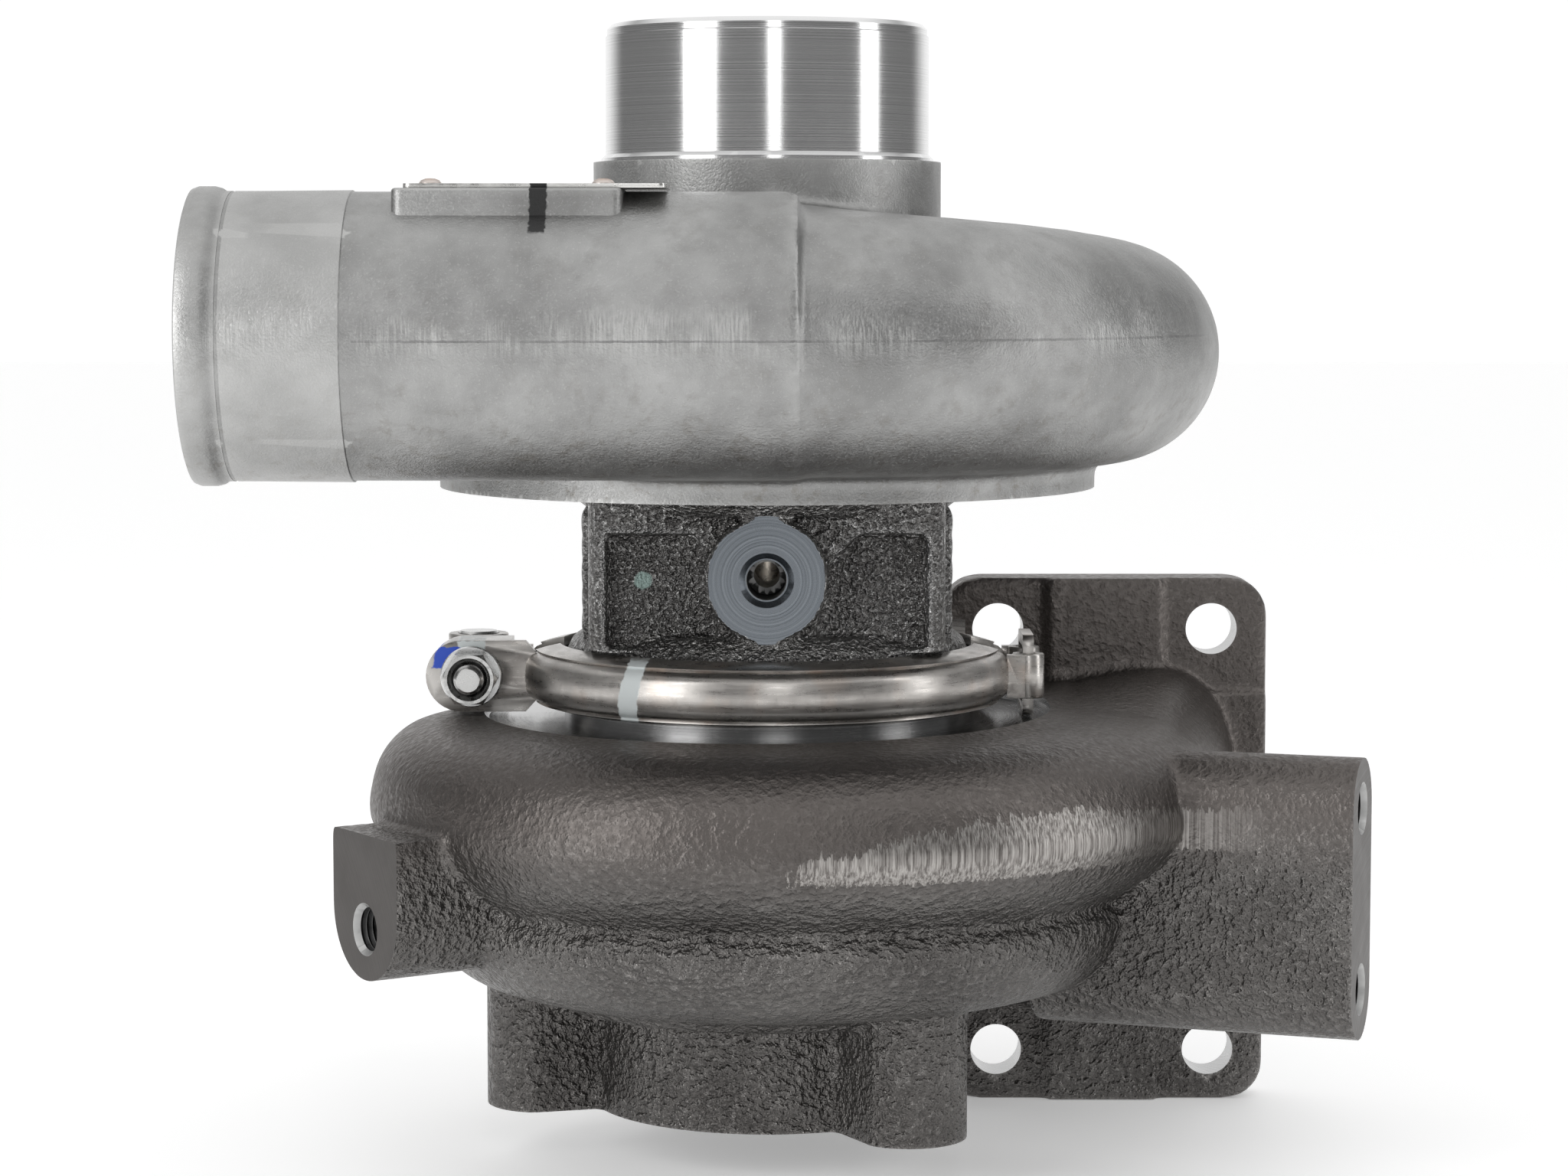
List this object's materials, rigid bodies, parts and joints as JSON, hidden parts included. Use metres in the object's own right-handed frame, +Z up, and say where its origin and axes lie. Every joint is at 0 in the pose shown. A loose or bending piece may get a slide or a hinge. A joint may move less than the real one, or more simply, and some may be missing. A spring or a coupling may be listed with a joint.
{
  "type": "turbocharger",
  "caption": "Exhaust-driven turbocharger with a scroll compressor cover, oil-fed bearing housing, band clamp and twin-entry turbine housing around a spinning rotor.",
  "frame": {"origin": "centre of the exhaust outlet's bore on its bottom face", "axes": "+Z up along the rotor's axis from the turbine to the air inlet, -X along the compressed-air outlet pipe, +Y towards the mating face of the gas inlet flange"},
  "size_m": [0.2256, 0.1779, 0.2293],
  "materials": {
    "cast_aluminium": "rough",
    "wheel_aluminium": "satin",
    "cast_iron_grey": "rough",
    "cast_iron_brown": "rough",
    "stainless_band": "satin",
    "steel": "satin",
    "hot_steel": "satin",
    "bearing_bronze": "satin",
    "rivet_copper": "satin",
    "plate_aluminium": "satin",
    "seal_rubber": "matte"
  },
  "bodies": {
    "housing": {"turbine_housing": "cast_iron_brown", "locating_pin": "steel", "heat_shield": "hot_steel", "clamp_front_band": "stainless_band", "clamp_rear_band": "stainless_band", "clamp_hinge_link": "stainless_band", "clamp_t_bolt": "steel", "clamp_washer": "steel", "clamp_nut": "steel", "bearing_housing": "cast_iron_grey", "bearing_circlips": "steel", "turbine_piston_ring": "steel", "thrust_bearing": "bearing_bronze", "oil_deflector": "steel", "seal_insert": "wheel_aluminium", "insert_o_ring": "seal_rubber", "insert_snap_ring": "steel", "sleeve_piston_ring": "steel", "compressor_cover": "cast_aluminium", "cover_o_ring": "seal_rubber", "cover_snap_ring": "steel", "name_plate": "plate_aluminium", "name_plate_rivets": "rivet_copper"},
    "rotor": {"rotor_shaft": "steel", "turbine_wheel": "hot_steel", "thrust_ring": "steel", "thrust_sleeve": "steel", "compressor_wheel": "wheel_aluminium", "wheel_lock_nut": "steel"},
    "lower_bush": {"lower_journal_bearing": "bearing_bronze"},
    "upper_bush": {"upper_journal_bearing": "bearing_bronze"}
  },
  "joints": [
    {"name": "rotor_spin", "type": "hinge", "parent": "housing", "child": "rotor", "pos_m": [0, 0, 0.1], "axis": [0, 0, 1], "continuous": true},
    {"name": "lower_bush_spin", "type": "hinge", "parent": "housing", "child": "lower_bush", "pos_m": [0, 0, 0.074], "axis": [0, 0, 1], "continuous": true},
    {"name": "upper_bush_spin", "type": "hinge", "parent": "housing", "child": "upper_bush", "pos_m": [0, 0, 0.108], "axis": [0, 0, 1], "continuous": true}
  ],
  "couplings": [
    {"joint": "lower_bush_spin", "follows": "rotor_spin", "ratio": 0.3},
    {"joint": "upper_bush_spin", "follows": "rotor_spin", "ratio": 0.3}
  ]
}
